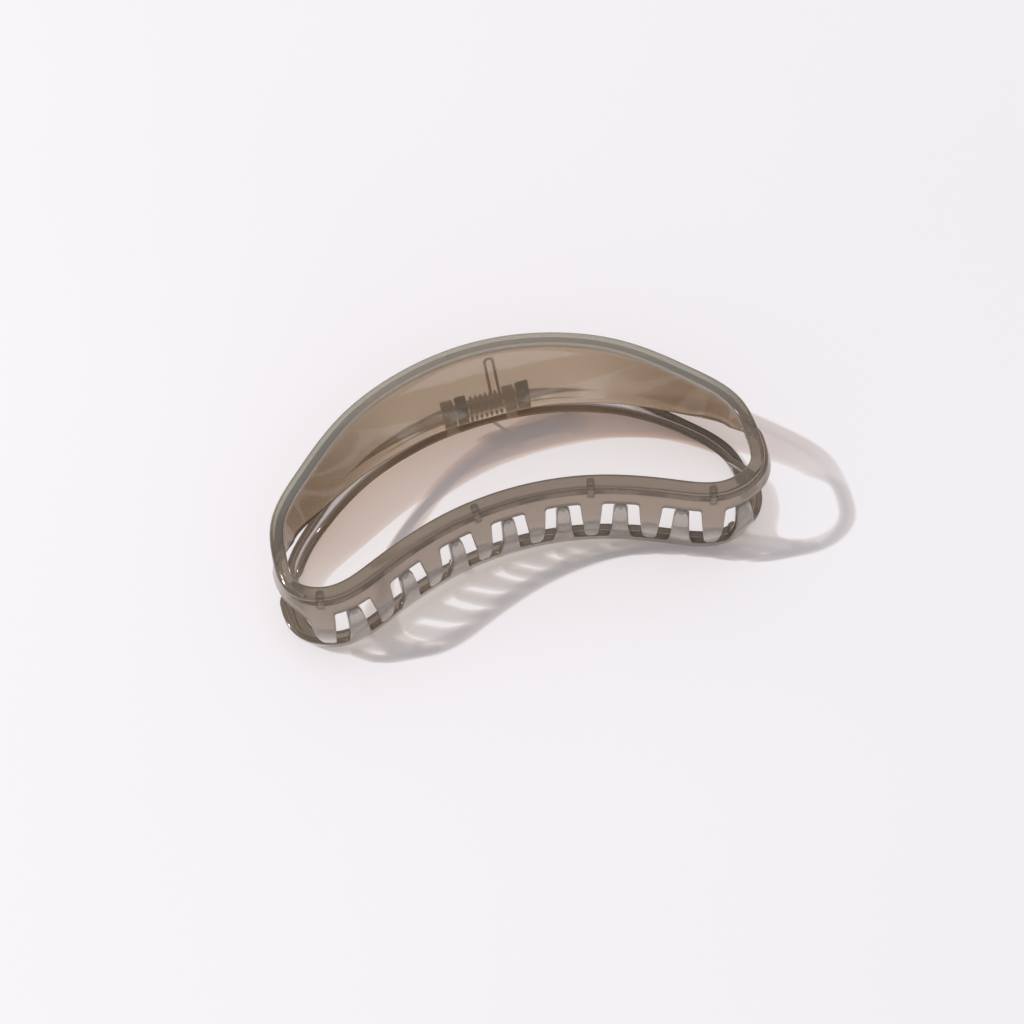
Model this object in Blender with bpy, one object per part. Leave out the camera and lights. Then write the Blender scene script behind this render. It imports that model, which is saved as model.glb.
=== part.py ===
"""Crescent claw clip for the hair, closed and lying on the rim of its lower jaw.

Two equal jaws of moulded smoke-brown plastic turn on a steel pin, and a torsion
spring holds them shut. Each jaw is one moulding: a kidney-shaped rim, a panel that
leans in from the rim's long back to the hinge and is pressed with the fingers, a low
wall round the two ends and the hollow front, eight teeth on that wall, and two hinge
ears. The lower jaw is the upper one turned half a turn about the front-to-back line
through the hinge, so the teeth of the one stand between the teeth of the other.

Metres, +Z up, +Y to the hinge side, origin on the surface below the clip's middle.
"""
import math
from collections import namedtuple

import bmesh
import bpy
import numpy as np
from mathutils import Matrix, Vector

# Driving dimensions
CLOSED_HEIGHT = 0.0369          # rim to rim of the closed clip
PITCH = 0.0144                  # from tooth to tooth of one jaw, along X
TEETH = 8                       # on each jaw
WALL = 0.0018                   # thickness of panel, wall and teeth
GAP = 0.0003                    # between pieces that touch on the real clip

# Plan of the rim's outer edge: right half, from the middle of the back to the middle of the front
PLAN = (
    (0.0000, 0.0333), (0.0197, 0.0305), (0.0375, 0.0227), (0.0516, 0.0110), (0.0609, -0.0005),
    (0.0626, -0.0103), (0.0612, -0.0189), (0.0517, -0.0240), (0.0375, -0.0203), (0.0195, -0.0138),
    (0.0000, -0.0114),
)

# Rim bar
RIM_WIDTH = 0.0035
RIM_THICK = 0.0024
RIM_FLAT = 0.0018               # from the rim's inner edge to where its top starts to round
RIM_EASE = 0.0005               # easing of its inner corner
SHOULDER_OUT = 0.40             # shoulder of the outer rounding: share of its width left to the edge
SHOULDER_DOWN = 0.12            # and share of the rim's thickness
ROUNDING_END = 0.60             # share of the thickness at which the rounding ends
RIM_UNDERSIDE = 0.92            # share of the thickness at which the rim's sides end

# Front and end wall: it starts proud of the rim, leans out, and bends back softly at mid-height
HALF = CLOSED_HEIGHT / 2
WALL_DEPTH = 0.0073             # from the rim's top to the foot of the wall between the teeth
WALL_BULGE = 0.00355            # how far its outer face stands out at mid-height
WALL_LEAN = 0.195
WALL_SOFTNESS = 0.0025
WALL_ROWS = (0.0, 0.3, 0.6, 0.8, 1.0)   # shares of the wall's height at which it is drawn

# Teeth
TOOTH_TIP_DEPTH = 0.0292
TOOTH_SIDE = ((0.0032, 0.0073), (0.0028, 0.0083), (0.0021, 0.0184), (0.00175, 0.0265), (0.00115, 0.0287))
END_TOOTH_SIDE = ((0.0068, 0.0073), (0.0054, 0.0080), (0.0042, 0.0092), (0.0030, 0.0114),
                  (0.0022, 0.0175), (0.00175, 0.0265), (0.00115, 0.0287))

# Back panel: place round the half rim (0 back, 1 front), inward reach of its foot, depth of its foot
Panel = namedtuple("Panel", "place reach depth")
PANEL = (
    Panel(0.00, 0.0148, 0.0170),
    Panel(0.06, 0.0145, 0.0166),
    Panel(0.12, 0.0137, 0.0161),
    Panel(0.18, 0.0130, 0.0158),
    Panel(0.24, 0.0119, 0.0155),
    Panel(0.30, 0.0103, 0.0148),
    Panel(0.35, 0.0088, 0.0137),
    Panel(0.40, 0.0076, 0.0118),
    Panel(0.44, 0.0067, 0.0096),
    Panel(0.47, 0.0058, 0.0080),
    Panel(0.50, 0.0047, 0.0073),
)
PANEL_TOP = -0.0033             # inner face of the panel where it leaves the rim
TURN_START, TURN_END = 0.480, 0.535   # the leaning panel turns into the end wall between these places
LEFT_END_SET = 0.0008           # the upper jaw's left end wall stands this much closer to the rim
LEFT_END_START = (0.44, 0.50)   # places between which it draws in
LEFT_END_STOP = (0.58, 0.66)    # places between which it stands out again

# Hinge
HINGE_Y = 0.0245
PIN_RADIUS = 0.00075
EAR_RADIUS = 0.0027
OUTER_EAR = (0.0083, 0.0116)    # along X, on the right of the upper jaw
INNER_EAR = (-0.0080, -0.0050)
EAR_FRONT_ROOT = 0.0005         # where the ear meets the panel, measured up the panel from its foot
EAR_BACK_ROOT = 0.0068
EAR_SINK = 0.55 * WALL          # how deep it runs into the panel
EAR_ARC = (170, 380)            # degrees of the round edge that stays free, from the hinge side upwards
EAR_STEPS = 10
BORE_REACH = 0.0139             # half length of the tool that cuts the pin's hole
ROUND_SIDES = 16                # of the pin and its hole

# Torsion spring
WIRE_RADIUS = 0.0004
COIL_RADIUS = 0.0019
COIL_LENGTH = 0.0082
COIL_TURNS = 7
COIL_STEPS = 11                 # points in a turn
LEG_LENGTH = 0.0125
LEG_SPREAD = 0.0022             # width of the hairpin that ends the upper leg
HAIRPIN_TURNS = (0.2, 0.8)      # shares of the hairpin's width at the two corners of its crown
HAIRPIN_END = 0.22              # share of the leg's length, above the coil, where the hairpin stops

# Gussets under the rim, behind some of the teeth
GUSSET_TEETH = (0, 3, 5, 7)
GUSSET_WIDTH = 0.0020
GUSSET_DEPTH = 0.0060
GUSSET_INSET = 0.86 * RIM_WIDTH   # from the rim's outer edge to its inner end
GUSSET_SINK = 0.5 * WALL        # how deep it runs into the wall

STEP = 0.0036                   # spacing of the sections along the plain stretches
FINE = 48                       # points of the fine outline between two plan points
FRONT_SHARE = 0.22              # share of the outline, to either side of the front's middle, that has teeth
TANGENT_STEP = 0.0006           # half the stretch over which the outline's direction is taken


def clear_scene():
    for item in list(bpy.data.objects):
        bpy.data.objects.remove(item, do_unlink=True)


def new_collection(name):
    collection = bpy.data.collections.new(name)
    bpy.context.scene.collection.children.link(collection)
    return collection


def smooth_step(value, low, high):
    t = min(max((value - low) / (high - low), 0.0), 1.0)
    return t * t * (3 - 2 * t)


class Rim:
    """Closed outline of the rim: a periodic cubic through the plan points and their mirror images."""

    def __init__(self):
        right = np.array(PLAN)
        left = right[1:-1][::-1] * (-1, 1)
        knots = np.vstack([right, left])
        following = np.roll(knots, -1, axis=0)
        chord = np.hypot(*(following - knots).T)
        bend = self.second_derivatives(knots, following, chord)
        points = []
        for i, knot in enumerate(knots):
            j = (i + 1) % len(knots)
            for step in range(FINE):
                f = step / FINE
                g = 1 - f
                cubic = chord[i] ** 2 / 6 * ((g ** 3 - g) * bend[i] + (f ** 3 - f) * bend[j])
                points.append(g * knot + f * knots[j] + cubic)
        points.append(points[0])
        self.points = np.array(points)
        self.along = np.concatenate([[0], np.cumsum(np.hypot(*np.diff(self.points, axis=0).T))])
        self.length = self.along[-1]
        front = np.abs(self.along / self.length - 0.5) < FRONT_SHARE
        self.front_x = self.points[front][:, 0]
        self.front_along = self.along[front]

    @staticmethod
    def second_derivatives(knots, following, chord):
        count = len(knots)
        before = np.roll(chord, 1)
        matrix = np.zeros((count, count))
        right_side = np.zeros((count, 2))
        for i in range(count):
            matrix[i, i - 1] = before[i]
            matrix[i, i] = 2 * (before[i] + chord[i])
            matrix[i, (i + 1) % count] = chord[i]
            ahead = (following[i] - knots[i]) / chord[i]
            behind = (knots[i] - knots[i - 1]) / before[i]
            right_side[i] = 6 * (ahead - behind)
        return np.linalg.solve(matrix, right_side)

    def at(self, along):
        along = along % self.length
        return np.array([np.interp(along, self.along, self.points[:, axis]) for axis in (0, 1)])

    def outward(self, along):
        ahead = self.at(along + TANGENT_STEP) - self.at(along - TANGENT_STEP)
        tangent = ahead / np.hypot(*ahead)
        return np.array([-tangent[1], tangent[0]])

    def front_at_x(self, x):
        """distance along the rim of the front point with this X; the front runs from right to left"""
        return float(np.interp(-x, -self.front_x, self.front_along))

    def place(self, along):
        """0 in the middle of the back, 1 in the middle of the front, on either side"""
        share = (along % self.length) / self.length
        return 2 * min(share, 1 - share)

    def set_back(self, along):
        """how much closer to the rim the wall stands: only round the left end"""
        if (along % self.length) < self.length / 2:
            return 0.0
        place = self.place(along)
        drawn_in = smooth_step(place, *LEFT_END_START) * (1 - smooth_step(place, *LEFT_END_STOP))
        return LEFT_END_SET * drawn_in


def tooth_x(index):
    """the teeth are a quarter pitch off centre, so that the other jaw's stand midway between them"""
    return PITCH * (index - (TEETH - 0.5) / 2)


def front_stations(rim):
    """(distance along the rim, depth of the foot) over the toothed front, from right to left"""
    rows = []
    for index in reversed(range(TEETH)):
        x = tooth_x(index)
        left_side = END_TOOTH_SIDE if index == 0 else TOOTH_SIDE
        rows += [(x + half, depth) for half, depth in TOOTH_SIDE]
        rows.append((x, TOOTH_TIP_DEPTH))
        rows += [(x - half, depth) for half, depth in reversed(left_side)]
        if index:
            rows.append((x - PITCH / 2, WALL_DEPTH))
    return [(rim.front_at_x(x), depth) for x, depth in rows]


def panel_column(place, column):
    places = [row.place for row in PANEL]
    return float(np.interp(place, places, [getattr(row, column) for row in PANEL]))


def stations(rim):
    """every section of the jaw, in order round the rim"""
    front = front_stations(rim)
    start, end = front[-1][0], front[0][0] + rim.length
    count = round((end - start) / STEP)
    rows = list(front)
    for i in range(1, count):
        along = start + (end - start) * i / count
        rows.append((along, max(WALL_DEPTH, panel_column(rim.place(along), "depth"))))
    return rows


def wall_outset(depth):
    """outer face of the front wall and teeth: two straight slopes with a soft bend between them"""
    from_middle = math.hypot(depth - HALF, WALL_SOFTNESS) - WALL_SOFTNESS
    return WALL_BULGE - WALL_LEAN * from_middle


def wall_faces(place, foot_depth, depth, set_back=0.0):
    """outward distance of the outer and the inner face at this depth"""
    front_outer = wall_outset(depth) - set_back
    front_inner = front_outer - WALL * math.hypot(1, WALL_LEAN)
    reach = panel_column(place, "reach")
    slope = (reach + PANEL_TOP) / (foot_depth - RIM_THICK)
    panel_inner = PANEL_TOP - slope * (depth - RIM_THICK)
    panel_outer = panel_inner + WALL * math.hypot(1, slope)
    turn = smooth_step(place, TURN_START, TURN_END)
    outer = panel_outer + turn * (front_outer - panel_outer)
    inner = panel_inner + turn * (front_inner - panel_inner)
    return outer, inner


def section(place, foot_depth, set_back):
    """closed profile of the jaw as (outward distance, depth below the rim's top)"""
    flat = -RIM_WIDTH + RIM_FLAT
    rim_top = [
        (-RIM_WIDTH, RIM_EASE),
        (-RIM_WIDTH + RIM_EASE, 0.0),
        (flat, 0.0),
        (flat * SHOULDER_OUT, RIM_THICK * SHOULDER_DOWN),
        (0.0, RIM_THICK * ROUNDING_END),
        (0.0, RIM_THICK * RIM_UNDERSIDE),
    ]
    depths = [RIM_THICK + (foot_depth - RIM_THICK) * share for share in WALL_ROWS]
    faces = [wall_faces(place, foot_depth, depth, set_back) for depth in depths]
    outside = [(outer, depth) for (outer, inner), depth in zip(faces, depths)]
    inside = [(inner, depth) for (outer, inner), depth in zip(faces, depths)]
    rim_under = [(-RIM_WIDTH, RIM_THICK * RIM_UNDERSIDE)]
    return rim_top + outside + inside[::-1] + rim_under


def moulding(rim):
    """rim, panel, wall and teeth as one loft round the rim, about the hinge axis"""
    rows = stations(rim)
    mesh = bmesh.new()
    rings = []
    for along, foot_depth in rows:
        point, outward = rim.at(along), rim.outward(along)
        ring = []
        for out, depth in section(rim.place(along), foot_depth, rim.set_back(along)):
            x, y = point + outward * out
            ring.append(mesh.verts.new((x, y - HINGE_Y, HALF - depth)))
        rings.append(ring)
    for i, ring in enumerate(rings):
        following = rings[(i + 1) % len(rings)]
        for j in range(len(ring)):
            k = (j + 1) % len(ring)
            mesh.faces.new((ring[j], ring[k], following[k], following[j]))
    bmesh.ops.triangulate(mesh, faces=mesh.faces[:])
    bmesh.ops.recalc_face_normals(mesh, faces=mesh.faces[:])
    data = bpy.data.meshes.new("moulding")
    mesh.to_mesh(data)
    mesh.free()
    return data


def panel_line(rim, x):
    """foot of the panel's hinge side at this X, its direction up the panel and its inward normal"""
    along = float(np.interp(x, rim.points[:FINE, 0], rim.along[:FINE]))
    place, y = rim.place(along), rim.at(along)[1] - HINGE_Y
    foot_depth = panel_column(place, "depth")
    foot = Vector((y + wall_faces(place, foot_depth, foot_depth)[0], HALF - foot_depth))
    top = Vector((y + wall_faces(place, foot_depth, RIM_THICK)[0], HALF - RIM_THICK))
    up = (top - foot).normalized()
    return foot, up, Vector((-up.y, up.x))


def ear(name, rim, span, collection):
    """hinge ear: a plate round the axis, carried up into the panel"""
    middle = sum(span) / 2
    foot, up, inward = panel_line(rim, abs(middle))
    sink = inward * EAR_SINK
    outline = [foot + up * EAR_BACK_ROOT + sink, foot + up * EAR_FRONT_ROOT + sink]
    first, last = (math.radians(angle) for angle in EAR_ARC)
    for i in range(EAR_STEPS + 1):
        angle = first + (last - first) * i / EAR_STEPS
        outline.append(Vector((math.cos(angle), math.sin(angle))) * EAR_RADIUS)
    curve = bpy.data.curves.new(name, "CURVE")
    curve.dimensions = "2D"
    curve.fill_mode = "BOTH"
    curve.extrude = (span[1] - span[0]) / 2
    spline = curve.splines.new("POLY")
    spline.points.add(len(outline) - 1)
    for point, (y, z) in zip(spline.points, outline):
        point.co = (y, z, 0, 1)
    spline.use_cyclic_u = True
    item = bpy.data.objects.new(name, curve)
    item.matrix_world = Matrix.Translation((middle, 0, 0)) @ Matrix(
        ((0, 0, 1, 0), (1, 0, 0, 0), (0, 1, 0, 0), (0, 0, 0, 1)))
    collection.objects.link(item)
    return as_mesh(item, collection)


def as_mesh(item, collection):
    """the curve object made a closed mesh object in the same place"""
    bpy.context.view_layer.update()
    evaluated = item.evaluated_get(bpy.context.evaluated_depsgraph_get())
    data = bpy.data.meshes.new_from_object(evaluated)
    mesh = bmesh.new()
    mesh.from_mesh(data)
    bmesh.ops.remove_doubles(mesh, verts=mesh.verts[:], dist=1e-6)
    bmesh.ops.recalc_face_normals(mesh, faces=mesh.faces[:])
    mesh.to_mesh(data)
    mesh.free()
    name, place, curve = item.name, item.matrix_world.copy(), item.data
    bpy.data.objects.remove(item, do_unlink=True)
    bpy.data.curves.remove(curve)
    solid = bpy.data.objects.new(name, data)
    solid.matrix_world = place
    collection.objects.link(solid)
    return solid


def gusset(rim, index, collection):
    """small block in the corner between rim and wall, behind a tooth"""
    along = rim.front_at_x(tooth_x(index))
    point, outward = rim.at(along), rim.outward(along)
    inner_face = wall_faces(1.0, WALL_DEPTH, RIM_THICK)[1]
    near, far = -GUSSET_INSET, inner_face + GUSSET_SINK
    top, bottom = HALF - RIM_THICK * 0.5, HALF - GUSSET_DEPTH
    bpy.ops.mesh.primitive_cube_add(size=1)
    block = bpy.context.object
    block.name = f"gusset_{index}"
    x, y = point + outward * (near + far) / 2
    block.location = (x, y - HINGE_Y, (top + bottom) / 2)
    block.rotation_euler = (0, 0, math.atan2(outward[1], outward[0]))
    block.scale = (far - near, GUSSET_WIDTH, top - bottom)
    for owner in block.users_collection:
        owner.objects.unlink(block)
    collection.objects.link(block)
    return block


def cylinder(name, radius, length, collection):
    """round bar along X, centred on the hinge axis"""
    data = bpy.data.meshes.new(name)
    mesh = bmesh.new()
    bmesh.ops.create_cone(mesh, cap_ends=True, segments=ROUND_SIDES, radius1=radius, radius2=radius,
                          depth=length, matrix=Matrix.Rotation(math.pi / 2, 4, "Y"))
    mesh.to_mesh(data)
    mesh.free()
    item = bpy.data.objects.new(name, data)
    collection.objects.link(item)
    return item


def combine(item, tool, operation):
    modifier = item.modifiers.new(tool.name, "BOOLEAN")
    modifier.operation = operation
    modifier.solver = "EXACT"
    modifier.object = tool


def jaw_mesh(cutters):
    """the moulding with its ears, gussets and pin holes, as one mesh that both jaws share"""
    rim = Rim()
    body = bpy.data.objects.new("jaw_body", moulding(rim))
    cutters.objects.link(body)
    tools = [ear("outer_ear", rim, OUTER_EAR, cutters), ear("inner_ear", rim, INNER_EAR, cutters)]
    tools += [gusset(rim, index, cutters) for index in GUSSET_TEETH]
    for tool in tools:
        combine(body, tool, "UNION")
    bore = cylinder("pin_bore", PIN_RADIUS + GAP, 2 * BORE_REACH, cutters)
    combine(body, bore, "DIFFERENCE")
    bpy.context.view_layer.update()
    data = bpy.data.meshes.new_from_object(body.evaluated_get(bpy.context.evaluated_depsgraph_get()))
    data.name = "jaw"
    return data


def material(name, colour, roughness, metallic=0.0, transmission=0.0):
    item = bpy.data.materials.new(name)
    item.use_nodes = True
    shader = item.node_tree.nodes["Principled BSDF"]
    shader.inputs["Base Color"].default_value = (*colour, 1)
    shader.inputs["Roughness"].default_value = roughness
    shader.inputs["Metallic"].default_value = metallic
    shader.inputs["Transmission Weight"].default_value = transmission
    return item


def finish(item, surface, pivot):
    """give a piece its material, smooth shading and place on the hinge axis"""
    item.data.materials.clear()
    item.data.materials.append(surface)
    item.data.shade_smooth()
    item.data.set_sharp_from_angle(angle=math.radians(35))
    item.parent = pivot


def hinge_pin(parts):
    return cylinder("hinge_pin", PIN_RADIUS, 2 * OUTER_EAR[1], parts)


def leg_points(x, side, foot, up):
    """points of a straight leg in the plane at x, from beside the coil to its end near the panel"""
    start = Vector((-up.y, up.x)) * COIL_RADIUS
    inward = Vector((-up.y, up.x))
    clear = (foot.dot(inward)) - WIRE_RADIUS - GAP
    end = inward * clear + up * LEG_LENGTH
    return [Vector((x, p.x, side * p.y)) for p in (start, end)]


def torsion_spring(parts, rim):
    """coil round the pin with a hairpin leg under the upper panel and a plain leg over the lower one"""
    foot, up, inward = panel_line(rim, COIL_LENGTH / 2)
    upper_start, upper_end = leg_points(COIL_LENGTH / 2, 1, foot, up)
    lower_start, lower_end = leg_points(-COIL_LENGTH / 2, -1, foot, up)
    first = math.atan2(lower_start.z, lower_start.y)
    last = math.atan2(upper_start.z, upper_start.y) - 2 * math.pi * COIL_TURNS
    steps = round(abs(last - first) / (2 * math.pi) * COIL_STEPS)
    points = [lower_end]
    for i in range(steps + 1):
        share = i / steps
        angle = first + (last - first) * share
        x = COIL_LENGTH * (share - 0.5)
        points.append(Vector((x, COIL_RADIUS * math.cos(angle), COIL_RADIUS * math.sin(angle))))
    crown = upper_end + (upper_end - upper_start).normalized() * LEG_SPREAD / 2
    across = Vector((LEG_SPREAD, 0, 0))
    clear_of_coil = upper_start + (upper_end - upper_start) * HAIRPIN_END
    points += [upper_end] + [crown - across * share for share in HAIRPIN_TURNS]
    points += [upper_end - across, clear_of_coil - across]
    curve = bpy.data.curves.new("torsion_spring", "CURVE")
    curve.dimensions = "3D"
    curve.bevel_depth = WIRE_RADIUS
    curve.bevel_resolution = 2
    curve.use_fill_caps = True
    spline = curve.splines.new("POLY")
    spline.points.add(len(points) - 1)
    for slot, point in zip(spline.points, points):
        slot.co = (*point, 1)
    item = bpy.data.objects.new("torsion_spring", curve)
    parts.objects.link(item)
    return as_mesh(item, parts)


def build():
    clear_scene()
    parts = new_collection("claw_clip")
    cutters = new_collection("cutters")
    smoke = material("smoke_plastic", (0.33, 0.27, 0.22), 0.12, transmission=0.7)
    steel = material("spring_steel", (0.16, 0.15, 0.14), 0.32, metallic=1.0)

    shared = jaw_mesh(cutters)
    reach = [vertex.co.y for vertex in shared.vertices]
    pivot = bpy.data.objects.new("hinge_axis", None)
    pivot.location = (0, -(min(reach) + max(reach)) / 2, HALF)
    parts.objects.link(pivot)

    upper = bpy.data.objects.new("upper_jaw", shared)
    lower = bpy.data.objects.new("lower_jaw", shared)
    lower.rotation_euler = (0, math.pi, 0)
    for jaw in (upper, lower):
        parts.objects.link(jaw)
        finish(jaw, smoke, pivot)
    finish(hinge_pin(parts), steel, pivot)
    finish(torsion_spring(parts, Rim()), steel, pivot)
    for tool in cutters.objects:
        tool.hide_render = True
        tool.display_type = "WIRE"


build()
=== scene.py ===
"""Looks of the crescent claw clip: finely moulded jaws, wound spring, steel pin, light and camera.

The jaws follow the same plan and sections as the solids of the frame, with their corners
rounded as a mould leaves them. Metres, row frame: +Z up, +Y to the hinge side.
"""
import math
from collections import namedtuple

import bmesh
import bpy
import numpy as np
from mathutils import Matrix, Vector


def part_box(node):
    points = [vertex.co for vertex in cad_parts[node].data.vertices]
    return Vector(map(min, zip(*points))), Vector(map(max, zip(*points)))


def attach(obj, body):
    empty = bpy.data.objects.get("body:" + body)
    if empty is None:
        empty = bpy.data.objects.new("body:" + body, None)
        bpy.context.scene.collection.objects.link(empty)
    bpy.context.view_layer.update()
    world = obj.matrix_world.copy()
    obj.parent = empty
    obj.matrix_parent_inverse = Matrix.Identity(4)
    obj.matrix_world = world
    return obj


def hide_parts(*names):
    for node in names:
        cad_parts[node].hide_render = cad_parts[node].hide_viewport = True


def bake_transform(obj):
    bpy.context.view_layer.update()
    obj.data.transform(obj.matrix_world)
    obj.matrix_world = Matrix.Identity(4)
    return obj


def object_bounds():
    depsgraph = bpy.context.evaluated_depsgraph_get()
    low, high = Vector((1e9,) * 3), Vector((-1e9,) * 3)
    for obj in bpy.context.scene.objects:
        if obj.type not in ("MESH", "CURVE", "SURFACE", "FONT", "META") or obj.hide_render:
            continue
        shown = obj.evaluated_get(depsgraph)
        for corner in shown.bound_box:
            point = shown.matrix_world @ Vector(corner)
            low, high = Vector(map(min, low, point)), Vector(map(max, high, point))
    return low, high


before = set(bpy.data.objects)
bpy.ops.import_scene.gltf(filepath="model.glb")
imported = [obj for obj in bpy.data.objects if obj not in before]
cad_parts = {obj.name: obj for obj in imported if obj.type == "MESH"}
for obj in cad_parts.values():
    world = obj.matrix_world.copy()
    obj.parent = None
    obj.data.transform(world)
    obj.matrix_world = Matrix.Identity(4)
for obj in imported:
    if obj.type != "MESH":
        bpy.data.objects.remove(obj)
cad_low, cad_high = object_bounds()

# Hinge axis and closed height, from the frame
PIN_LOW, PIN_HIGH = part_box("hinge_pin")
HINGE = (PIN_LOW + PIN_HIGH) / 2
HALF = (cad_high.z - cad_low.z) / 2

# Jaw, as in the part: tooth pitch, wall, plan of the rim from the middle of the back to the front
PITCH = 0.0144
TEETH = 8
WALL = 0.0018
PLAN = (
    (0.0000, 0.0333), (0.0197, 0.0305), (0.0375, 0.0227), (0.0516, 0.0110), (0.0609, -0.0005),
    (0.0626, -0.0103), (0.0612, -0.0189), (0.0517, -0.0240), (0.0375, -0.0203), (0.0195, -0.0138),
    (0.0000, -0.0114),
)
HINGE_Y = 0.0245                # of the axis in the plan
MIDDLE_Y = HINGE_Y - HINGE.y    # of the clip in the plan
RIM_WIDTH = 0.0035
RIM_THICK = 0.0024
WALL_DEPTH = 0.0073
WALL_BULGE = 0.00355
WALL_LEAN = 0.195
WALL_SOFTNESS = 0.0025
TOOTH_TIP_DEPTH = 0.0292
TOOTH_SIDE = ((0.0032, 0.0073), (0.0028, 0.0083), (0.0021, 0.0184), (0.00175, 0.0265), (0.00115, 0.0287))
END_TOOTH_SIDE = ((0.0068, 0.0073), (0.0054, 0.0080), (0.0042, 0.0092), (0.0030, 0.0114),
                  (0.0022, 0.0175), (0.00175, 0.0265), (0.00115, 0.0287))
Panel = namedtuple("Panel", "place reach depth")
PANEL = (
    Panel(0.00, 0.0148, 0.0170),
    Panel(0.06, 0.0145, 0.0166),
    Panel(0.12, 0.0137, 0.0161),
    Panel(0.18, 0.0130, 0.0158),
    Panel(0.24, 0.0119, 0.0155),
    Panel(0.30, 0.0103, 0.0148),
    Panel(0.35, 0.0088, 0.0137),
    Panel(0.40, 0.0076, 0.0118),
    Panel(0.44, 0.0067, 0.0096),
    Panel(0.47, 0.0058, 0.0080),
    Panel(0.50, 0.0047, 0.0073),
)
PANEL_TOP = -0.0033
PANEL_SOFT = 0.02               # share of the half rim over which the panel's rows run into each other
PANEL_SAMPLES = 9
TURN_START, TURN_END = 0.480, 0.535     # places where the panel turns into the wall
LEFT_END_SET = 0.0008           # how far the wall of the left end stands back, and between which places
LEFT_END_START = (0.44, 0.50)
LEFT_END_STOP = (0.58, 0.66)
END_VALLEY = 0.6                # pitches from the first tooth to the end of the toothed edge
FRONT_SHARE = 0.22              # of the rim's length, either way from the middle of the front

# Rounding of the moulded corners: radii of the rim's inner top, outer top and small corners
INNER_ROUND = 0.0005
OUTER_ROUND = 0.0016
SMALL_ROUND = 0.00022
RIM_INSIDE, RIM_OUTSIDE = 0.96, 0.92    # height of the rim's inner and outer edge, of its thickness
ROOT_ROUND = 0.00035            # fillet between the rim's underside and the wall
FOOT_ROUND = 0.00045            # edge of the wall and teeth
TOOTH_ROUND = 0.0030            # corners of the tooth outline, as far as its edges leave room
MOST_REACH = 0.48               # of an edge that one rounded corner may take up
STRAIGHT = 1e-4                 # turn below which a corner counts as straight

# Hinge
PIN_RADIUS = 0.00075
EAR_RADIUS = 0.0027
EAR_BEVEL = 0.00025
BORE_RADIUS = PIN_RADIUS + 0.0003
OUTER_EAR = (0.0083, 0.0116)
INNER_EAR = (-0.0080, -0.0050)
EAR_FRONT_ROOT = 0.0005
EAR_BACK_ROOT = 0.0068
EAR_SINK = 0.55                 # of the wall, from its hinge side inwards
EAR_ARC = (170, 380)            # degrees of the round end
EAR_STEPS = 36
BORE_ARC = (0, 350)             # degrees; the curve closes the last step itself
BORE_STEPS = 35
PIN_STEPS = 40
PIN_EASING = 0.0002

# Gussets under the rim, behind some of the teeth
GUSSET_TEETH = (0, 3, 5, 7)
GUSSET_WIDTH = 0.0020
GUSSET_DEPTH = 0.0060
GUSSET_ROUND = 0.0006
GUSSET_INSET = 0.86             # of the rim's width, from its outer edge
GUSSET_SINK = 0.5               # of the wall's and the rim's thickness

# Torsion spring
WIRE_RADIUS = 0.0004
COIL_RADIUS = 0.0019
COIL_LENGTH = 0.0082
COIL_TURNS = 7
COIL_STEPS = 28
LEG_LENGTH = 0.0125
LEG_SPREAD = 0.0022
HAIRPIN_STEPS = 12
HAIRPIN_END = 0.22              # of the leg's length, where its second prong is cut off
SPRING_GAP = 0.0003

# Plastic: from the panel's warm brown to the front wall's plainer grey, along Y from the hinge; some tints
# hold painted light and shade
BACK_EDGE = -0.018
FRONT_EDGE = -0.032
RIM_FADE = (1.5, 0.5)           # depths, in rim thicknesses, where the rim's tint begins and is full
UNDERSIDE = (0.3, -0.3)         # Z of the surface's direction where the underside's painted shade begins and is full
HINGE_FADE = 1.4                # ear radii from the axis at which the ears' painted shade begins
PANEL_ENDS = (0.020, 0.052)     # from the middle of the panel to its ends, which are darkened with painted shade
PANEL_TINTS = (0.575, 0.45, 0.33), (0.665, 0.535, 0.405)
# painted shade towards the panel's ends
PANEL_END_PAINTED_SHADE = (0.37, 0.265, 0.175)
WALL_TINTS = (0.43, 0.33, 0.245), (0.515, 0.41, 0.31)
# lighter tooth tips: painted light
TOOTH_TIP_PAINTED_LIGHT = (0.66, 0.61, 0.56)
# the back rim's tint, lighter and cooler with painted reflection of the bright surroundings behind
RIM_TINT_AND_SHEEN_BACK = (0.585, 0.58, 0.51)
RIM_TINT_FRONT = (0.35, 0.29, 0.225)
# painted shade on the rim's underside
RIM_UNDERSIDE_PAINTED_SHADE = (0.17, 0.155, 0.13)
# painted shade on the hinge ears
HINGE_PAINTED_SHADE = (0.12, 0.09, 0.065)
SHADE_BACK = (0.875, 0.775, 0.69)     # what one face of the plastic leaves of the light behind it
SHADE_FRONT = (0.932, 0.90, 0.857)
DEPTH_DENSITY = 320             # colour taken from the light on its way inside
DEPTH_COLOUR = (0.55, 0.50, 0.45)

# Steel and floor, each between two tints
STEEL_TINTS = (0.10, 0.09, 0.085), (0.22, 0.20, 0.18)
FLOOR_TINTS = (0.83, 0.81, 0.82), (0.86, 0.84, 0.85)

# Fineness
PLAN_STEPS = 96                 # points of the rim's outline between two plan points
TANGENT_STEP = 0.0006
STATION_STEP = 0.0008
SAME_STATION = 2e-5             # nearer points of the foot line count as one
FIT = 0.9991                    # keeps the finer, rounder outline inside the box of the faceted one
WALL_ROWS = 11
PROFILE_STEPS = 5               # of each rounded corner of the section
TOOTH_STEPS = 4                 # of each rounded corner of the toothed edge
FOOT_STEPS = 4                  # of each half of the rounded foot
CREASE = 48                     # degrees from which an edge is shaded sharp
WELD = 1e-7                     # nearer points of a mesh are joined

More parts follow.
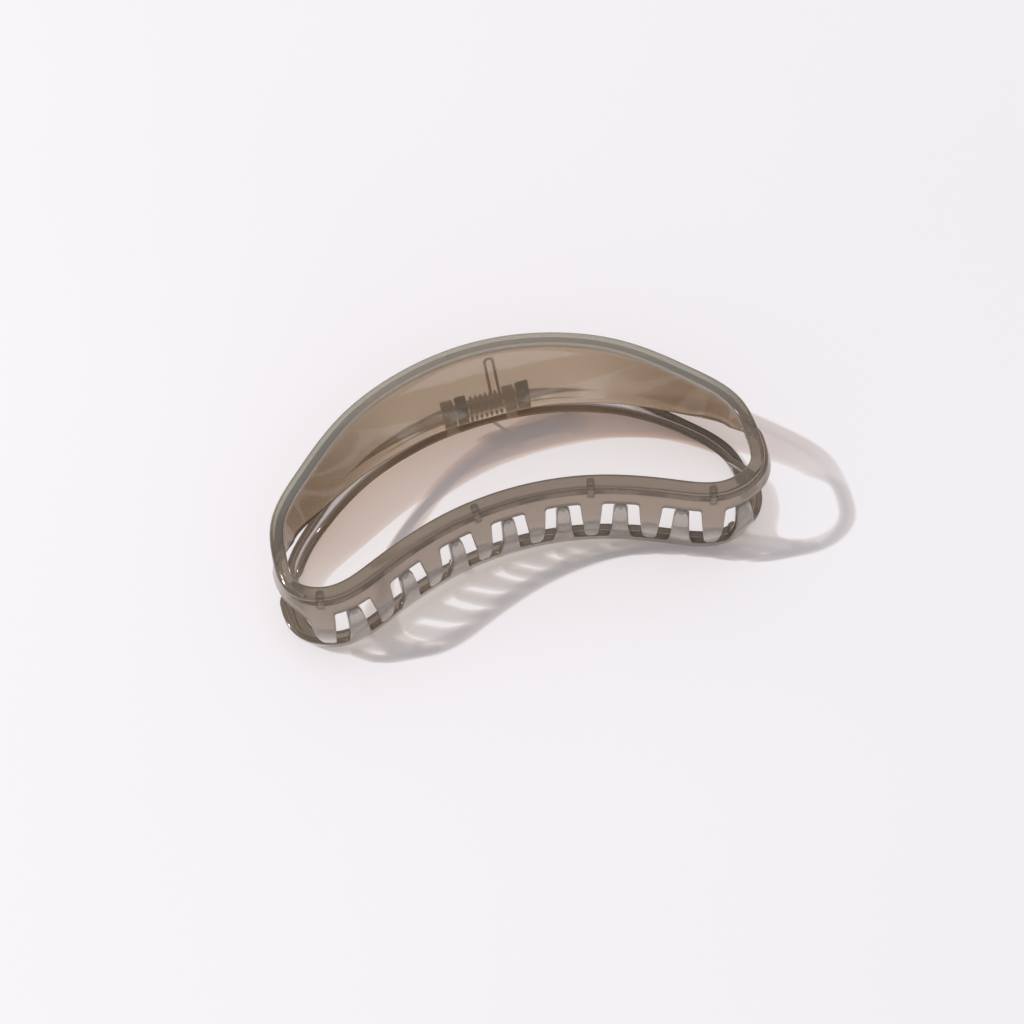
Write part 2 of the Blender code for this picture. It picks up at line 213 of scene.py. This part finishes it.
# Camera: the photograph's angle, from above and a little to the left
CAMERA_AZIMUTH = -10.6186
CAMERA_ELEVATION = 68.83
CAMERA_ROLL = -5.0118
CAMERA_DISTANCE = 0.68177
CAMERA_AIM = (0.0001865, -0.0002797)   # of the lens axis from the plan's origin, right and up in the picture
FOCAL_LENGTH = 91.41
SENSOR = 36
NEAREST = 0.01                  # distance from which the camera sees

# Light: direction towards the key, from the left and behind
KEY_AZIMUTH = -71
KEY_ELEVATION = 55.5
KEY_DISTANCE = 4.0
KEY_SIZE = 0.075                # about a degree across, as seen from the clip
KEY_POWER = 107
KEY_COLOUR = (1.0, 0.975, 0.96)

# Studio round the clip: brightness by the sine of the elevation, from the horizon to the zenith
FLOOR_REACH = 12.0
SKY_TINT = (0.93, 0.94, 1.0)
GLOW = 1.8                      # of the low light in front of the clip, which its back panel mirrors
GLOW_HEIGHT = (0.32, 0.16)      # sines of the elevations where it begins and is full
GLOW_AHEAD = (-0.75, -0.97)     # Y of the directions where it begins and is full
SURROUNDINGS = ((0.0, 0.95), (0.2, 0.85), (0.36, 0.32), (0.7, 0.42), (0.9, 0.75), (1.0, 0.85))


def smooth_step(value, low, high):
    t = min(max((value - low) / (high - low), 0.0), 1.0)
    return t * t * (3 - 2 * t)


def rounded(points, radii, steps):
    """open polyline with each inner corner drawn as an arc of its radius, as far as the edges leave room"""
    points = [np.array(point, float) for point in points]
    path = [points[0]]
    for before, corner, after, radius in zip(points, points[1:], points[2:], radii):
        back, ahead = before - corner, after - corner
        back_length, ahead_length = np.hypot(*back), np.hypot(*ahead)
        cosine = float(np.dot(back, ahead) / (back_length * ahead_length))
        turn = math.pi - math.acos(max(-1.0, min(1.0, cosine)))
        reach = min(radius * math.tan(turn / 2), MOST_REACH * back_length, MOST_REACH * ahead_length)
        start, end = corner + back / back_length * reach, corner + ahead / ahead_length * reach
        handle = 4 / 3 * math.tan(turn / 4) / math.tan(turn / 2) if turn > STRAIGHT else 2 / 3
        for i in range(steps + 1):
            u = i / steps
            weights = ((1 - u) ** 3, 3 * u * (1 - u) ** 2, 3 * u * u * (1 - u), u ** 3)
            guides = (start, start + (corner - start) * handle, end + (corner - end) * handle, end)
            path.append(sum(weight * guide for weight, guide in zip(weights, guides)))
    path.append(points[-1])
    return path


class Rim:
    """Closed outline of the rim: a periodic cubic through the plan points and their mirror images."""

    def __init__(self):
        right = np.array(PLAN)
        left = right[1:-1][::-1] * (-1, 1)
        knots = np.vstack([right, left])
        following = np.roll(knots, -1, axis=0)
        chord = np.hypot(*(following - knots).T)
        bend = self.second_derivatives(knots, following, chord)
        points = []
        for i, knot in enumerate(knots):
            j = (i + 1) % len(knots)
            for step in range(PLAN_STEPS):
                f = step / PLAN_STEPS
                g = 1 - f
                cubic = chord[i] ** 2 / 6 * ((g ** 3 - g) * bend[i] + (f ** 3 - f) * bend[j])
                points.append(g * knot + f * knots[j] + cubic)
        points.append(points[0])
        self.points = np.array(points)
        self.along = np.concatenate([[0], np.cumsum(np.hypot(*np.diff(self.points, axis=0).T))])
        self.length = self.along[-1]
        front = np.abs(self.along / self.length - 0.5) < FRONT_SHARE
        self.front_x = self.points[front][:, 0]
        self.front_along = self.along[front]

    @staticmethod
    def second_derivatives(knots, following, chord):
        count = len(knots)
        before = np.roll(chord, 1)
        matrix = np.zeros((count, count))
        right_side = np.zeros((count, 2))
        for i in range(count):
            matrix[i, i - 1] = before[i]
            matrix[i, i] = 2 * (before[i] + chord[i])
            matrix[i, (i + 1) % count] = chord[i]
            ahead = (following[i] - knots[i]) / chord[i]
            behind = (knots[i] - knots[i - 1]) / before[i]
            right_side[i] = 6 * (ahead - behind)
        return np.linalg.solve(matrix, right_side)

    def at(self, along):
        along = along % self.length
        return np.array([np.interp(along, self.along, self.points[:, axis]) for axis in (0, 1)])

    def outward(self, along):
        ahead = self.at(along + TANGENT_STEP) - self.at(along - TANGENT_STEP)
        tangent = ahead / np.hypot(*ahead)
        return np.array([-tangent[1], tangent[0]])

    def front_at_x(self, x):
        return float(np.interp(-x, -self.front_x, self.front_along))

    def place(self, along):
        """0 in the middle of the back, 1 in the middle of the front, on either side"""
        share = (along % self.length) / self.length
        return 2 * min(share, 1 - share)

    def set_back(self, along):
        if (along % self.length) < self.length / 2:
            return 0.0
        place = self.place(along)
        return LEFT_END_SET * smooth_step(place, *LEFT_END_START) * (1 - smooth_step(place, *LEFT_END_STOP))


def tooth_x(index):
    return PITCH * (index - (TEETH - 0.5) / 2)


def panel_column(place, column):
    places = [row.place for row in PANEL]
    values = [getattr(row, column) for row in PANEL]
    near = np.abs(place + PANEL_SOFT * np.linspace(-1, 1, PANEL_SAMPLES))
    return float(np.interp(near, places, values).mean())


def wall_outset(depth):
    from_middle = math.hypot(depth - HALF, WALL_SOFTNESS) - WALL_SOFTNESS
    return WALL_BULGE - WALL_LEAN * from_middle


def wall_faces(place, foot_depth, depth, set_back=0.0):
    """outward distance of the outer and the inner face at this depth"""
    front_outer = wall_outset(depth) - set_back
    front_inner = front_outer - WALL * math.hypot(1, WALL_LEAN)
    reach = panel_column(place, "reach")
    slope = (reach + PANEL_TOP) / (foot_depth - RIM_THICK)
    panel_inner = PANEL_TOP - slope * (depth - RIM_THICK)
    panel_outer = panel_inner + WALL * math.hypot(1, slope)
    turn = smooth_step(place, TURN_START, TURN_END)
    outer = panel_outer + turn * (front_outer - panel_outer)
    inner = panel_inner + turn * (front_inner - panel_inner)
    return outer, inner


def tooth_outline(index):
    """(x, depth) of one tooth's edge, from its right valley to its left one"""
    x = tooth_x(index)
    left_side = END_TOOTH_SIDE if index == 0 else TOOTH_SIDE
    corners = [(x + PITCH / 2, WALL_DEPTH)]
    corners += [(x + half, depth) for half, depth in TOOTH_SIDE]
    corners.append((x, TOOTH_TIP_DEPTH))
    corners += [(x - half, depth) for half, depth in reversed(left_side)]
    corners.append((x - PITCH * (0.5 if index else END_VALLEY), WALL_DEPTH))
    return rounded(corners, [TOOTH_ROUND] * (len(corners) - 2), TOOTH_STEPS)


def foot_line(rim):
    """closed edge of wall, teeth and panel as (along, depth), finely stepped"""
    corners = []
    for index in reversed(range(TEETH)):
        outline = tooth_outline(index)
        corners += [(rim.front_at_x(x), depth) for x, depth in outline[:-1 if index else None]]
    start, end = corners[-1][0], corners[0][0] + rim.length
    count = round((end - start) / STATION_STEP)
    for i in range(1, count):
        along = start + (end - start) * i / count
        corners.append((along, max(WALL_DEPTH, panel_column(rim.place(along), "depth"))))
    line = []
    for i, corner in enumerate(corners):
        following = corners[i + 1] if i + 1 < len(corners) else (corners[0][0] + rim.length, corners[0][1])
        gap = math.dist(corner, following)
        if gap < SAME_STATION:
            continue
        steps = max(1, round(gap / STATION_STEP))
        for step in range(steps):
            share = step / steps
            line.append([a + (b - a) * share for a, b in zip(corner, following)])
    return np.array(line)


def foot_normals(line, length):
    """unit normals of the foot line, pointing out of the wall"""
    ahead = np.roll(line, -1, axis=0) - line
    ahead[-1, 0] += length
    ahead /= np.hypot(*ahead.T)[:, None]
    middle = ahead + np.roll(ahead, 1, axis=0)
    middle /= np.hypot(*middle.T)[:, None]
    return np.stack([-middle[:, 1], middle[:, 0]], axis=-1)


def section(rim, foot, normal):
    """closed profile of the jaw at one station, as (along, outward distance, depth)"""
    inset_along, inset_depth = foot - normal * FOOT_ROUND
    place, set_back = rim.place(inset_along), rim.set_back(inset_along)
    foot_depth = max(foot[1], WALL_DEPTH)
    panel_depth = panel_column(place, "depth")
    shape_depth = panel_depth if place < TURN_END else foot_depth

    def faces(depth):
        return wall_faces(place, shape_depth, depth, set_back)

    depths = np.linspace(RIM_THICK, inset_depth, WALL_ROWS)
    outside = [(faces(depth)[0], depth) for depth in depths]
    inside = [(faces(depth)[1], depth) for depth in depths]
    rim_corners = [
        inside[1],
        inside[0],
        (-RIM_WIDTH, RIM_INSIDE * RIM_THICK),
        (-RIM_WIDTH, 0.0),
        (0.0, 0.0),
        (0.0, RIM_OUTSIDE * RIM_THICK),
        outside[0],
        outside[1],
    ]
    radii = (ROOT_ROUND, SMALL_ROUND, INNER_ROUND, OUTER_ROUND, SMALL_ROUND, SMALL_ROUND)
    profile = [(inset_along, out, depth) for out, depth in rounded(rim_corners, radii, PROFILE_STEPS)]
    profile += [(inset_along, out, depth) for out, depth in outside[2:]]
    outer, inner = faces(foot[1])
    turns = range(1, FOOT_STEPS + 1)
    for side, edge, order in ((1, outer, turns), (-1, inner, reversed(turns))):
        for i in order:
            angle = math.pi / 2 * i / FOOT_STEPS
            along, depth = foot - normal * FOOT_ROUND * (1 - math.sin(angle))
            profile.append((along, edge - side * FOOT_ROUND * (1 - math.cos(angle)), depth))
    profile += [(inset_along, out, depth) for out, depth in inside[:1:-1]]
    return profile


def moulding(rim):
    """rim, panel, wall and teeth as one fine loft round the rim, about the hinge axis"""
    line = foot_line(rim)
    normals = foot_normals(line, rim.length)
    mesh = bmesh.new()
    rings = []
    for foot, normal in zip(line, normals):
        ring = []
        for along, out, depth in section(rim, foot, normal):
            x, y = rim.at(along) + rim.outward(along) * out
            ring.append(mesh.verts.new((x * FIT, (y - MIDDLE_Y) * FIT + MIDDLE_Y - HINGE_Y, HALF - depth)))
        rings.append(ring)
    for i, ring in enumerate(rings):
        following = rings[(i + 1) % len(rings)]
        for j in range(len(ring)):
            k = (j + 1) % len(ring)
            mesh.faces.new((ring[j], ring[k], following[k], following[j]))
    bmesh.ops.recalc_face_normals(mesh, faces=mesh.faces[:])
    return finished("moulding", mesh)


def finished(name, mesh):
    """the mesh built in bmesh as mesh data"""
    data = bpy.data.meshes.new(name)
    mesh.to_mesh(data)
    mesh.free()
    return data


def new_object(name, data):
    item = bpy.data.objects.new(name, data)
    bpy.context.scene.collection.objects.link(item)
    return item


def evaluated_mesh(item):
    bpy.context.view_layer.update()
    return bpy.data.meshes.new_from_object(item.evaluated_get(bpy.context.evaluated_depsgraph_get()))


def panel_line(rim, x):
    """foot of the panel's hinge side at this X, its direction up the panel and its inward normal"""
    near = slice(PLAN_STEPS)    # from the middle of the back to the next plan point
    along = float(np.interp(x, rim.points[near, 0], rim.along[near]))
    place, y = rim.place(along), rim.at(along)[1] - HINGE_Y
    foot_depth = panel_column(place, "depth")
    foot = Vector((y + wall_faces(place, foot_depth, foot_depth)[0], HALF - foot_depth))
    top = Vector((y + wall_faces(place, foot_depth, RIM_THICK)[0], HALF - RIM_THICK))
    up = (top - foot).normalized()
    return foot, up, Vector((-up.y, up.x))


def add_spline(curve, points, closed=True):
    spline = curve.splines.new("POLY")
    spline.points.add(len(points) - 1)
    for slot, point in zip(spline.points, points):
        slot.co = (*point, 0, 1) if len(point) == 2 else (*point, 1)
    spline.use_cyclic_u = closed


def arc(centre, radius, first, last, steps):
    angles = [math.radians(first + (last - first) * i / steps) for i in range(steps + 1)]
    return [centre + Vector((math.cos(angle), math.sin(angle))) * radius for angle in angles]


def ear(name, rim, span):
    """hinge ear: a plate with eased edges and the pin's bore, carried up into the panel"""
    middle = sum(span) / 2
    foot, up, inward = panel_line(rim, abs(middle))
    sink = inward * WALL * EAR_SINK
    outline = [foot + up * EAR_BACK_ROOT + sink, foot + up * EAR_FRONT_ROOT + sink]
    outline += arc(Vector((0, 0)), EAR_RADIUS - EAR_BEVEL, *EAR_ARC, EAR_STEPS)
    curve = bpy.data.curves.new(name, "CURVE")
    curve.dimensions = "2D"
    curve.fill_mode = "BOTH"
    curve.extrude = (span[1] - span[0]) / 2 - EAR_BEVEL
    curve.bevel_depth = EAR_BEVEL
    curve.bevel_resolution = 3
    add_spline(curve, outline)
    add_spline(curve, arc(Vector((0, 0)), BORE_RADIUS + EAR_BEVEL, *BORE_ARC, BORE_STEPS))
    item = new_object(name, curve)
    item.matrix_world = Matrix.Translation((middle, 0, 0)) @ Matrix(
        ((0, 0, 1, 0), (1, 0, 0, 0), (0, 1, 0, 0), (0, 0, 0, 1)))
    return item


def gusset(rim, index):
    """small block with eased edges in the corner between rim and wall, behind a tooth"""
    along = rim.front_at_x(tooth_x(index))
    point, outward = rim.at(along), rim.outward(along)
    inner_face = wall_faces(1.0, WALL_DEPTH, RIM_THICK)[1]
    near, far = -RIM_WIDTH * GUSSET_INSET, inner_face + WALL * GUSSET_SINK
    top, bottom = HALF - RIM_THICK * GUSSET_SINK, HALF - GUSSET_DEPTH
    mesh = bmesh.new()
    bmesh.ops.create_cube(mesh, size=1, matrix=Matrix.Diagonal((far - near, GUSSET_WIDTH, top - bottom, 1)))
    bmesh.ops.bevel(mesh, geom=mesh.edges[:], offset=GUSSET_ROUND, segments=3, profile=0.5, affect="EDGES")
    item = new_object(f"gusset_{index}", finished("gusset", mesh))
    x, y = point + outward * (near + far) / 2
    item.location = (x, y - HINGE_Y, (top + bottom) / 2)
    item.rotation_euler = (0, 0, math.atan2(outward[1], outward[0]))
    return item


def jaw_mesh(rim):
    """the moulding joined with its ears and gussets, as one smooth mesh that both jaws share"""
    body = new_object("jaw_body", moulding(rim))
    tools = [ear("outer_ear", rim, OUTER_EAR), ear("inner_ear", rim, INNER_EAR)]
    tools += [gusset(rim, index) for index in GUSSET_TEETH]
    solids = []
    for tool in tools:
        solid = new_object(tool.name + "_solid", welded(evaluated_mesh(tool)))
        solid.matrix_world = tool.matrix_world
        solids.append(solid)
        modifier = body.modifiers.new(solid.name, "BOOLEAN")
        modifier.operation = "UNION"
        modifier.solver = "EXACT"
        modifier.object = solid
    data = evaluated_mesh(body)
    data.name = "jaw"
    data.shade_smooth()
    data.set_sharp_from_angle(angle=math.radians(CREASE))
    for item in [body] + tools + solids:
        bpy.data.objects.remove(item, do_unlink=True)
    return data


def welded(data):
    """the same mesh data with doubled points joined and its faces turned outwards"""
    mesh = bmesh.new()
    mesh.from_mesh(data)
    bmesh.ops.remove_doubles(mesh, verts=mesh.verts[:], dist=WELD)
    bmesh.ops.recalc_face_normals(mesh, faces=mesh.faces[:])
    mesh.to_mesh(data)
    mesh.free()
    return data


def hinge_pin():
    """steel pin with rounded ends, along X on the hinge axis"""
    length = 2 * OUTER_EAR[1]
    mesh = bmesh.new()
    bmesh.ops.create_cone(mesh, cap_ends=True, segments=PIN_STEPS, radius1=PIN_RADIUS, radius2=PIN_RADIUS,
                          depth=length, matrix=Matrix.Rotation(math.pi / 2, 4, "Y"))
    rims = [edge for edge in mesh.edges if abs(edge.verts[0].co.x - edge.verts[1].co.x) < length / 2]
    bmesh.ops.bevel(mesh, geom=rims, offset=PIN_EASING, segments=4, profile=0.5, affect="EDGES")
    data = finished("hinge_pin_steel", mesh)
    data.shade_smooth()
    return new_object("hinge_pin_steel", data)


def torsion_spring(rim):
    """coil round the pin with a hairpin leg under the upper panel and a plain leg over the lower one"""
    foot, up, across = panel_line(rim, COIL_LENGTH / 2)
    clear = foot.dot(across) - WIRE_RADIUS - SPRING_GAP
    ends = [across * COIL_RADIUS, across * clear + up * LEG_LENGTH]
    lower_start, lower_end = (Vector((-COIL_LENGTH / 2, p.x, -p.y)) for p in ends)
    upper_start, upper_end = (Vector((COIL_LENGTH / 2, p.x, p.y)) for p in ends)
    first = math.atan2(lower_start.z, lower_start.y)
    last = math.atan2(upper_start.z, upper_start.y) - 2 * math.pi * COIL_TURNS
    steps = round(abs(last - first) / (2 * math.pi) * COIL_STEPS)
    points = [lower_end, lower_end.lerp(lower_start, 0.5)]
    for i in range(steps + 1):
        share = i / steps
        angle = first + (last - first) * share
        x = COIL_LENGTH * (share - 0.5)
        points.append(Vector((x, COIL_RADIUS * math.cos(angle), COIL_RADIUS * math.sin(angle))))
    along_leg = (upper_end - upper_start).normalized()
    radius = LEG_SPREAD / 2
    points.append(upper_start.lerp(upper_end, 0.5))
    for i in range(HAIRPIN_STEPS + 1):
        angle = math.pi * i / HAIRPIN_STEPS
        sideways = Vector((radius * (math.cos(angle) - 1), 0, 0))
        points.append(upper_end + sideways + along_leg * radius * math.sin(angle))
    points.append(upper_start.lerp(upper_end, HAIRPIN_END) - Vector((LEG_SPREAD, 0, 0)))
    curve = bpy.data.curves.new("torsion_spring_wire", "CURVE")
    curve.dimensions = "3D"
    curve.bevel_depth = WIRE_RADIUS
    curve.bevel_resolution = 5
    curve.use_fill_caps = True
    add_spline(curve, points, closed=False)
    guide = new_object("spring_guide", curve)
    data = welded(evaluated_mesh(guide))
    data.shade_smooth()
    bpy.data.objects.remove(guide, do_unlink=True)
    return new_object("torsion_spring_wire", data)


def new_material(name):
    """material with nodes, its tree and its shader"""
    item = bpy.data.materials.new(name)
    item.use_nodes = True
    return item, item.node_tree, item.node_tree.nodes["Principled BSDF"]


def node(tree, kind, **inputs):
    """new node with numbers on its sockets, an underscore for each space in a socket's name"""
    item = tree.nodes.new(kind)
    for name, value in inputs.items():
        item.inputs[name.replace("_", " ")].default_value = value
    return item


def split(tree, vector):
    """sockets X, Y and Z of a vector"""
    item = node(tree, "ShaderNodeSeparateXYZ")
    tree.links.new(vector, item.inputs["Vector"])
    return item.outputs


def noise(tree, place, **inputs):
    """cloudy value by place"""
    item = node(tree, "ShaderNodeTexNoise", **inputs)
    tree.links.new(place, item.inputs["Vector"])
    return item.outputs["Fac"]


def between(tree, share, low, high):
    """number that goes from low to high as the share goes from 0 to 1"""
    item = node(tree, "ShaderNodeMapRange", To_Min=low, To_Max=high)
    tree.links.new(share, item.inputs["Value"])
    return item.outputs["Result"]


def share_between(tree, value, low, high):
    """0 below low and 1 above high, with a soft passage; low may be the greater"""
    item = node(tree, "ShaderNodeMapRange", From_Min=low, From_Max=high)
    item.interpolation_type = "SMOOTHSTEP"
    tree.links.new(value, item.inputs["Value"])
    return item.outputs["Result"]


def colour_mix(tree, share, first, second):
    """mix of two colours, each a socket or three numbers"""
    item = node(tree, "ShaderNodeMix")
    item.data_type = "RGBA"
    tree.links.new(share, item.inputs["Factor"])
    for name, colour in (("A", first), ("B", second)):
        if isinstance(colour, tuple):
            item.inputs[name].default_value = (*colour, 1)
        else:
            tree.links.new(colour, item.inputs[name])
    return item.outputs["Result"]


def maths(tree, operation, first, second=None):
    """result of one operation on one or two sockets"""
    item = node(tree, "ShaderNodeMath")
    item.operation = operation
    tree.links.new(first, item.inputs[0])
    if second is not None:
        tree.links.new(second, item.inputs[1])
    return item.outputs["Value"]


def ripples(tree, shader, height, **inputs):
    """fine bumps of this height on the shader's surface"""
    bump = node(tree, "ShaderNodeBump", **inputs)
    tree.links.new(height, bump.inputs["Height"])
    tree.links.new(bump.outputs["Normal"], shader.inputs["Normal"])


def tint_and_painted_light_by_place(tree, place, facing, cloudy, in_front):
    """colour of the plastic: panel with painted shade at its ends, front wall, tooth tips with painted
    light, hinge ears with painted shade, and the rim with painted reflection at the back and painted shade
    on its underside
    """
    x, y, z = split(tree, place)
    aside = maths(tree, "ABSOLUTE", x)
    down_teeth = share_between(tree, z, HALF - WALL_DEPTH, HALF - TOOTH_TIP_DEPTH)
    painted_light_at_tips = maths(tree, "MULTIPLY", in_front, down_teeth)
    flat = node(tree, "ShaderNodeCombineXYZ")
    tree.links.new(y, flat.inputs["Y"])
    tree.links.new(z, flat.inputs["Z"])
    to_axis = node(tree, "ShaderNodeVectorMath")
    to_axis.operation = "LENGTH"
    tree.links.new(flat.outputs["Vector"], to_axis.inputs[0])
    near_axis = share_between(tree, to_axis.outputs["Value"], HINGE_FADE * EAR_RADIUS, EAR_RADIUS)
    shade_by_hinge = maths(tree, "MULTIPLY", near_axis, share_between(tree, aside, COIL_LENGTH / 2, -INNER_EAR[1]))
    base = colour_mix(tree, cloudy, *PANEL_TINTS)
    # darker towards the panel's ends: painted shade
    base = colour_mix(tree, share_between(tree, aside, *PANEL_ENDS), base, PANEL_END_PAINTED_SHADE)
    base = colour_mix(tree, in_front, base, colour_mix(tree, cloudy, *WALL_TINTS))
    # lighter down the front teeth: painted light
    base = colour_mix(tree, painted_light_at_tips, base, TOOTH_TIP_PAINTED_LIGHT)
    # dark near the hinge axis: painted shade on the ears
    base = colour_mix(tree, shade_by_hinge, base, HINGE_PAINTED_SHADE)
    in_rim = share_between(tree, z, *(HALF - depth * RIM_THICK for depth in RIM_FADE))
    # the rim's underside darker: painted shade
    shaded_underneath = share_between(tree, split(tree, facing)["Z"], *UNDERSIDE)
    # rim tint with painted reflection at the back and painted shade on the underside
    rim_tint_sheen_and_shade = colour_mix(tree, in_front, RIM_TINT_AND_SHEEN_BACK, RIM_TINT_FRONT)
    rim_tint_sheen_and_shade = colour_mix(tree, shaded_underneath, rim_tint_sheen_and_shade, RIM_UNDERSIDE_PAINTED_SHADE)
    return colour_mix(tree, in_rim, base, rim_tint_sheen_and_shade)


def passing_light(tree, surface, tint):
    """the surface, with a plain tint in its place for shadow and diffuse rays"""
    clear = node(tree, "ShaderNodeBsdfTransparent")
    tree.links.new(tint, clear.inputs["Color"])
    path = node(tree, "ShaderNodeLightPath")
    for kind in ("Is Shadow Ray", "Is Diffuse Ray"):
        mix = node(tree, "ShaderNodeMixShader")
        tree.links.new(path.outputs[kind], mix.inputs[0])
        tree.links.new(surface, mix.inputs[1])
        tree.links.new(clear.outputs["BSDF"], mix.inputs[2])
        surface = mix.outputs["Shader"]
    return surface


def smoke_plastic():
    """clear-moulded smoke-brown plastic: it takes colour from its depth, and lets the lamps through"""
    item, tree, shader = new_material("smoke_plastic")
    link = tree.links.new
    output = tree.nodes["Material Output"]
    coordinates = node(tree, "ShaderNodeTexCoord")
    place, facing = coordinates.outputs["Object"], coordinates.outputs["Normal"]
    in_front = share_between(tree, split(tree, place)["Y"], BACK_EDGE, FRONT_EDGE)
    cloudy = noise(tree, place, Scale=55, Detail=3, Roughness=0.5)
    waves = noise(tree, place, Scale=260, Detail=2, Roughness=0.4)
    link(tint_and_painted_light_by_place(tree, place, facing, cloudy, in_front), shader.inputs["Base Color"])
    link(between(tree, cloudy, 0.05, 0.11), shader.inputs["Roughness"])
    ripples(tree, shader, waves, Strength=0.12, Distance=0.0001)
    shader.inputs["Transmission Weight"].default_value = 0.8
    shader.inputs["Coat Weight"].default_value = 0.2
    shader.inputs["Coat Roughness"].default_value = 0.03
    shader.inputs["IOR"].default_value = 1.49
    depth = node(tree, "ShaderNodeVolumeAbsorption", Density=DEPTH_DENSITY)
    depth.inputs["Color"].default_value = (*DEPTH_COLOUR, 1)
    link(depth.outputs["Volume"], output.inputs["Volume"])
    shade = colour_mix(tree, in_front, SHADE_BACK, SHADE_FRONT)
    link(passing_light(tree, shader.outputs["BSDF"], shade), output.inputs["Surface"])
    return item


def spring_steel():
    """dark oiled steel, a little uneven and tarnished"""
    item, tree, shader = new_material("spring_steel")
    link = tree.links.new
    place = node(tree, "ShaderNodeTexCoord").outputs["Object"]
    spots = noise(tree, place, Scale=900, Detail=4, Roughness=0.6)
    link(colour_mix(tree, spots, *STEEL_TINTS), shader.inputs["Base Color"])
    link(between(tree, spots, 0.22, 0.42), shader.inputs["Roughness"])
    ripples(tree, shader, spots, Strength=0.2, Distance=0.00003)
    shader.inputs["Metallic"].default_value = 1.0
    return item


def pale_floor():
    """plain pale floor with a very faint unevenness"""
    item, tree, shader = new_material("pale_floor")
    place = node(tree, "ShaderNodeTexCoord").outputs["Object"]
    cloudy = noise(tree, place, Scale=6, Detail=2, Roughness=0.4)
    tree.links.new(colour_mix(tree, cloudy, *FLOOR_TINTS), shader.inputs["Base Color"])
    shader.inputs["Roughness"].default_value = 0.6
    shader.inputs["Specular IOR Level"].default_value = 0.2
    return item


def direction(azimuth, elevation):
    """unit vector: azimuth from +Y towards +X, elevation above the floor, in degrees"""
    a, e = math.radians(azimuth), math.radians(elevation)
    return Vector((math.sin(a) * math.cos(e), math.cos(a) * math.cos(e), math.sin(e)))


def area_light(name, azimuth, elevation, distance, size, power, colour):
    data = bpy.data.lights.new(name, "AREA")
    data.shape = "DISK"
    data.size = size
    data.energy = power
    data.color = colour
    item = new_object(name, data)
    towards = direction(azimuth, elevation)
    item.location = towards * distance
    item.rotation_euler = towards.to_track_quat("Z", "Y").to_euler()
    item.visible_transmission = False   # the plastic lets it through as plain shade
    return item


def surroundings():
    """world that is brighter low down and overhead, and most of all low in front of the clip"""
    world = bpy.data.worlds.new("studio")
    world.use_nodes = True
    tree = world.node_tree
    link = tree.links.new
    background = tree.nodes["Background"]
    axes = split(tree, node(tree, "ShaderNodeTexCoord").outputs["Generated"])
    ramp = node(tree, "ShaderNodeValToRGB")
    while len(ramp.color_ramp.elements) < len(SURROUNDINGS):
        ramp.color_ramp.elements.new(0.5)
    for stop, (height, light) in zip(ramp.color_ramp.elements, SURROUNDINGS):
        stop.position = height
        stop.color = (*(tint * light for tint in SKY_TINT), 1)
    link(axes["Z"], ramp.inputs["Fac"])
    link(ramp.outputs["Color"], background.inputs["Color"])
    low = share_between(tree, axes["Z"], *GLOW_HEIGHT)
    ahead = share_between(tree, axes["Y"], *GLOW_AHEAD)
    link(between(tree, maths(tree, "MULTIPLY", low, ahead), 1.0, GLOW), background.inputs["Strength"])
    return world


def studio():
    """pale floor, soft surroundings and one key lamp"""
    mesh = bmesh.new()
    bmesh.ops.create_grid(mesh, x_segments=1, y_segments=1, size=FLOOR_REACH)
    floor = new_object("floor", finished("floor", mesh))
    floor.data.materials.append(pale_floor())
    bpy.context.scene.world = surroundings()
    area_light("key", KEY_AZIMUTH, KEY_ELEVATION, KEY_DISTANCE, KEY_SIZE, KEY_POWER, KEY_COLOUR)
    bpy.context.scene.view_settings.view_transform = "Standard"


def camera():
    """camera at the photograph's angle, aimed beside the clip's middle as the photograph is"""
    a, e, r = (math.radians(x) for x in (CAMERA_AZIMUTH, CAMERA_ELEVATION, CAMERA_ROLL))
    back = Vector((math.sin(a) * math.cos(e), -math.cos(a) * math.cos(e), math.sin(e)))
    level = (-back).cross(Vector((0, 0, 1))).normalized()
    above = level.cross(-back)
    right = level * math.cos(r) + above * math.sin(r)
    up = above * math.cos(r) - level * math.sin(r)
    data = bpy.data.cameras.new("camera")
    data.lens = FOCAL_LENGTH
    data.sensor_width = SENSOR
    data.clip_start = NEAREST
    item = new_object("camera", data)
    aim = Vector((0, HINGE.y - HINGE_Y, 0)) + right * CAMERA_AIM[0] + up * CAMERA_AIM[1]
    turn = Matrix((right, up, back)).transposed()
    item.matrix_world = Matrix.Translation(aim + back * CAMERA_DISTANCE) @ turn.to_4x4()
    bpy.context.scene.camera = item


def build():
    """camera, light and the four pieces; the jaws and the pin each riding on its body"""
    camera()
    studio()
    rim = Rim()
    smoke, steel = smoke_plastic(), spring_steel()
    shared = jaw_mesh(rim)
    shared.materials.clear()
    shared.materials.append(smoke)
    for body, turn in (("upper", 0), ("lower", math.pi)):
        jaw = new_object(body + "_jaw_moulding", shared)
        jaw.matrix_world = Matrix.Translation(HINGE) @ Matrix.Rotation(turn, 4, "Y")
        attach(jaw, body)
        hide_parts(body + "_jaw")
    pin, spring = hinge_pin(), torsion_spring(rim)
    for item in (pin, spring):
        item.data.materials.append(steel)
        item.matrix_world = Matrix.Translation(HINGE)
    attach(pin, "lower")
    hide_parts("hinge_pin")
    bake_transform(spring)
    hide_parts("torsion_spring")


build()
